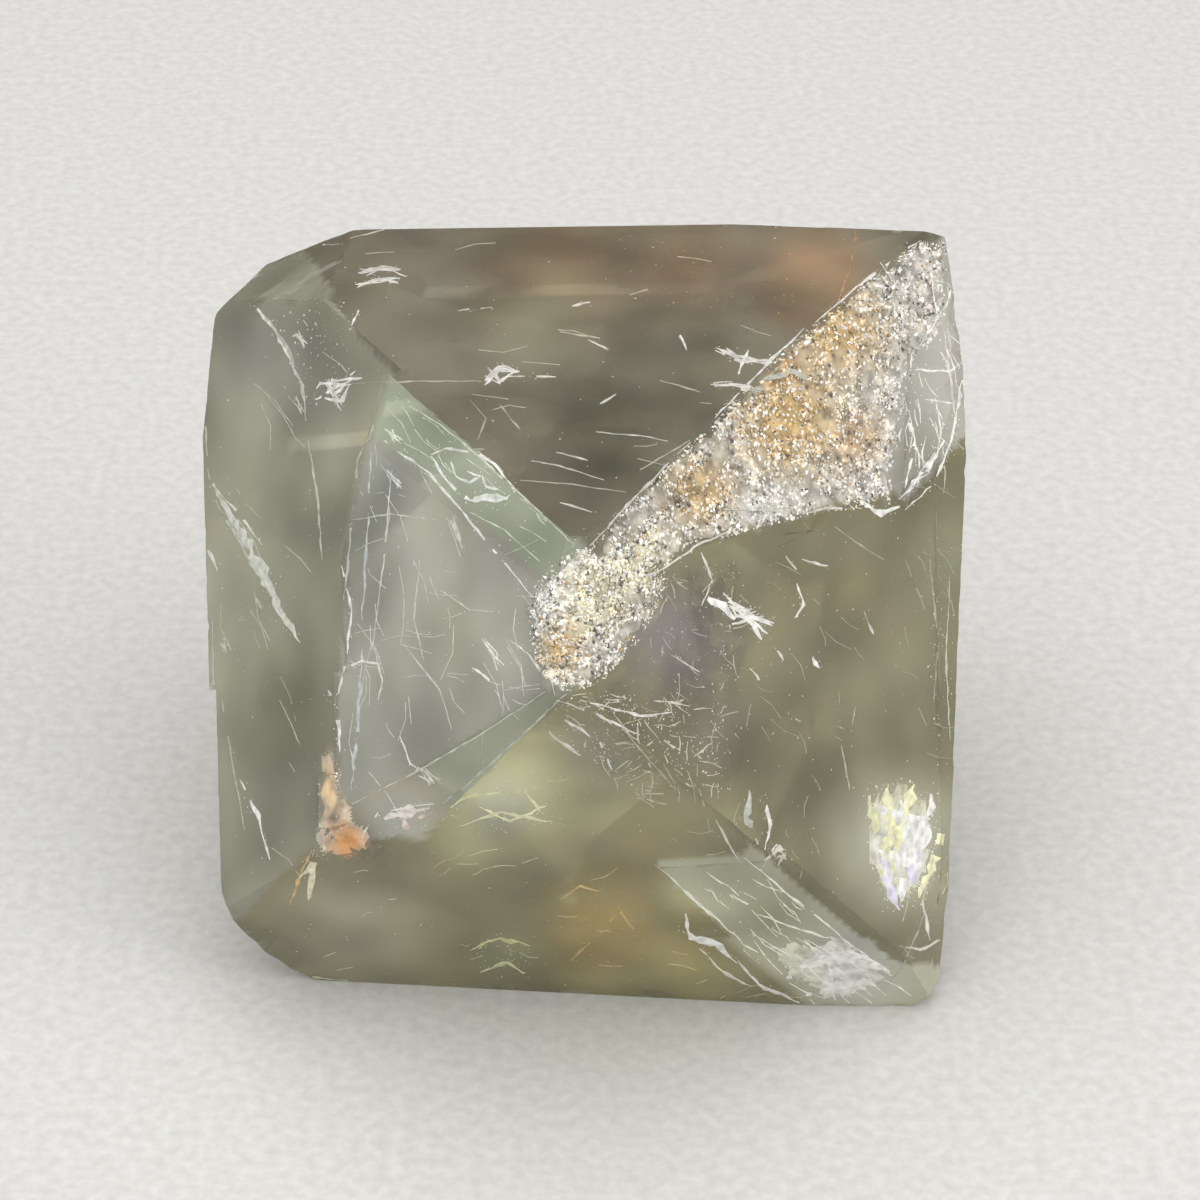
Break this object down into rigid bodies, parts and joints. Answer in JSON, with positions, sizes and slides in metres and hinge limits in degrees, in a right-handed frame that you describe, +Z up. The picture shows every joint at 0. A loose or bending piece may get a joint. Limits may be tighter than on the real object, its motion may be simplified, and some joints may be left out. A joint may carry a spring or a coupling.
{
  "type": "fluorite specimen",
  "caption": "Pale green, see-through fluorite octahedron with ledged faces and a rough, rust-stained band on one ridge, resting on a triangular face.",
  "frame": {"origin": "on the surface that the crystal rests on, under the middle of its bounding box", "axes": "+Z up; the face it rests on lies in the plane z = 0; -Y is the side of the front point, which a viewer sees from above; +X to that viewer's right"},
  "size_m": [0.0362, 0.0414, 0.0312],
  "materials": {
    "fluorite": "polished"
  },
  "bodies": {
    "root": {"fluorite_octahedron": "fluorite"}
  },
  "joints": []
}
